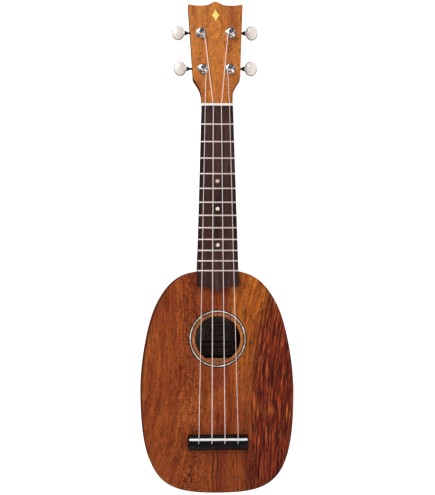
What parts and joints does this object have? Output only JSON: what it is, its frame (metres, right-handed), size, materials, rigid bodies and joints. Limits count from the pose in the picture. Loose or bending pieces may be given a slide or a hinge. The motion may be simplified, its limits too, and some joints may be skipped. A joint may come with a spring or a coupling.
{
  "type": "ukulele",
  "caption": "Soprano ukulele with a pineapple-shaped koa body, round soundhole, slotted bridge, tilted headstock and geared tuners that turn.",
  "frame": {"origin": "centre of the instrument's footprint, on the flat back, with the instrument lying on its back", "axes": "+Y from the tail to the headstock, +X to the treble side, +Z out of the soundboard"},
  "size_m": [0.1604, 0.5216, 0.0685],
  "materials": {
    "koa_top": "clear satin lacquer over figured koa",
    "koa": "clear satin lacquer over koa",
    "koa_veneer": "clear satin lacquer over koa",
    "neck_wood": "clear satin lacquer over mahogany",
    "inner_wood": "bare sanded wood",
    "rosewood": "oiled, open grain",
    "bridge_wood": "oiled, polished",
    "fret_metal": "polished nickel silver",
    "pearl": "pearl sheen",
    "bone": "polished",
    "chrome": "mirror",
    "die_cast": "plated, satin",
    "shaft_steel": "plated, polished",
    "button_pearloid": "polished pearloid",
    "string_nylon": "clear, glossy",
    "paper": "matt",
    "gold_inlay": "polished"
  },
  "bodies": {
    "root": {"soundboard": "koa_top", "back_plate": "koa", "rim": "koa", "top_lining": "inner_wood", "back_lining": "inner_wood", "neck_block": "inner_wood", "tail_block": "inner_wood", "upper_top_brace": "inner_wood", "lower_top_brace": "inner_wood", "upper_back_brace": "inner_wood", "lower_back_brace": "inner_wood", "bridge_plate": "inner_wood", "label": "paper", "rosette_ring": "pearl", "neck": "neck_wood", "fingerboard": "rosewood", "fret_01": "fret_metal", "fret_02": "fret_metal", "fret_03": "fret_metal", "fret_04": "fret_metal", "fret_05": "fret_metal", "fret_06": "fret_metal", "fret_07": "fret_metal", "fret_08": "fret_metal", "fret_09": "fret_metal", "fret_10": "fret_metal", "fret_11": "fret_metal", "fret_12": "fret_metal", "position_dot_5": "pearl", "position_dot_7": "pearl", "position_dot_10": "pearl", "nut": "bone", "bridge": "bridge_wood", "saddle": "bone", "string_g": "string_nylon", "string_c": "string_nylon", "string_e": "string_nylon", "string_a": "string_nylon", "headstock_veneer": "koa_veneer", "headstock_emblem": "gold_inlay", "tuner_housing_g": "die_cast", "post_bushing_g": "chrome", "tuner_housing_c": "die_cast", "post_bushing_c": "chrome", "tuner_housing_e": "die_cast", "post_bushing_e": "chrome", "tuner_housing_a": "die_cast", "post_bushing_a": "chrome"},
    "knob_g": {"worm_shaft_g": "shaft_steel", "tuner_button_g": "button_pearloid"},
    "post_g": {"string_post_g": "chrome"},
    "knob_c": {"worm_shaft_c": "shaft_steel", "tuner_button_c": "button_pearloid"},
    "post_c": {"string_post_c": "chrome"},
    "knob_e": {"worm_shaft_e": "shaft_steel", "tuner_button_e": "button_pearloid"},
    "post_e": {"string_post_e": "chrome"},
    "knob_a": {"worm_shaft_a": "shaft_steel", "tuner_button_a": "button_pearloid"},
    "post_a": {"string_post_a": "chrome"}
  },
  "joints": [
    {"name": "knob_g_turn", "type": "hinge", "parent": "root", "child": "knob_g", "pos_m": [-0.01435, 0.18878, 0.03195], "axis": [-1, 0, 0], "continuous": true},
    {"name": "post_g_turn", "type": "hinge", "parent": "root", "child": "post_g", "pos_m": [-0.01435, 0.1866, 0.04984], "axis": [0, 0.2164, 0.9763], "continuous": true, "deforming": ["string_g"]},
    {"name": "knob_c_turn", "type": "hinge", "parent": "root", "child": "knob_c", "pos_m": [-0.0158, 0.22784, 0.02329], "axis": [-1, 0, 0], "continuous": true},
    {"name": "post_c_turn", "type": "hinge", "parent": "root", "child": "post_c", "pos_m": [-0.0158, 0.22566, 0.04118], "axis": [0, 0.2164, 0.9763], "continuous": true, "deforming": ["string_c"]},
    {"name": "knob_e_turn", "type": "hinge", "parent": "root", "child": "knob_e", "pos_m": [0.0158, 0.22784, 0.02329], "axis": [1, 0, 0], "continuous": true},
    {"name": "post_e_turn", "type": "hinge", "parent": "root", "child": "post_e", "pos_m": [0.0158, 0.22566, 0.04118], "axis": [0, 0.2164, 0.9763], "continuous": true, "deforming": ["string_e"]},
    {"name": "knob_a_turn", "type": "hinge", "parent": "root", "child": "knob_a", "pos_m": [0.01435, 0.18878, 0.03195], "axis": [1, 0, 0], "continuous": true},
    {"name": "post_a_turn", "type": "hinge", "parent": "root", "child": "post_a", "pos_m": [0.01435, 0.1866, 0.04984], "axis": [0, 0.2164, 0.9763], "continuous": true, "deforming": ["string_a"]}
  ],
  "couplings": [
    {"joint": "post_g_turn", "follows": "knob_g_turn", "ratio": 0.071429},
    {"joint": "post_c_turn", "follows": "knob_c_turn", "ratio": 0.071429},
    {"joint": "post_e_turn", "follows": "knob_e_turn", "ratio": -0.071429},
    {"joint": "post_a_turn", "follows": "knob_a_turn", "ratio": -0.071429}
  ]
}
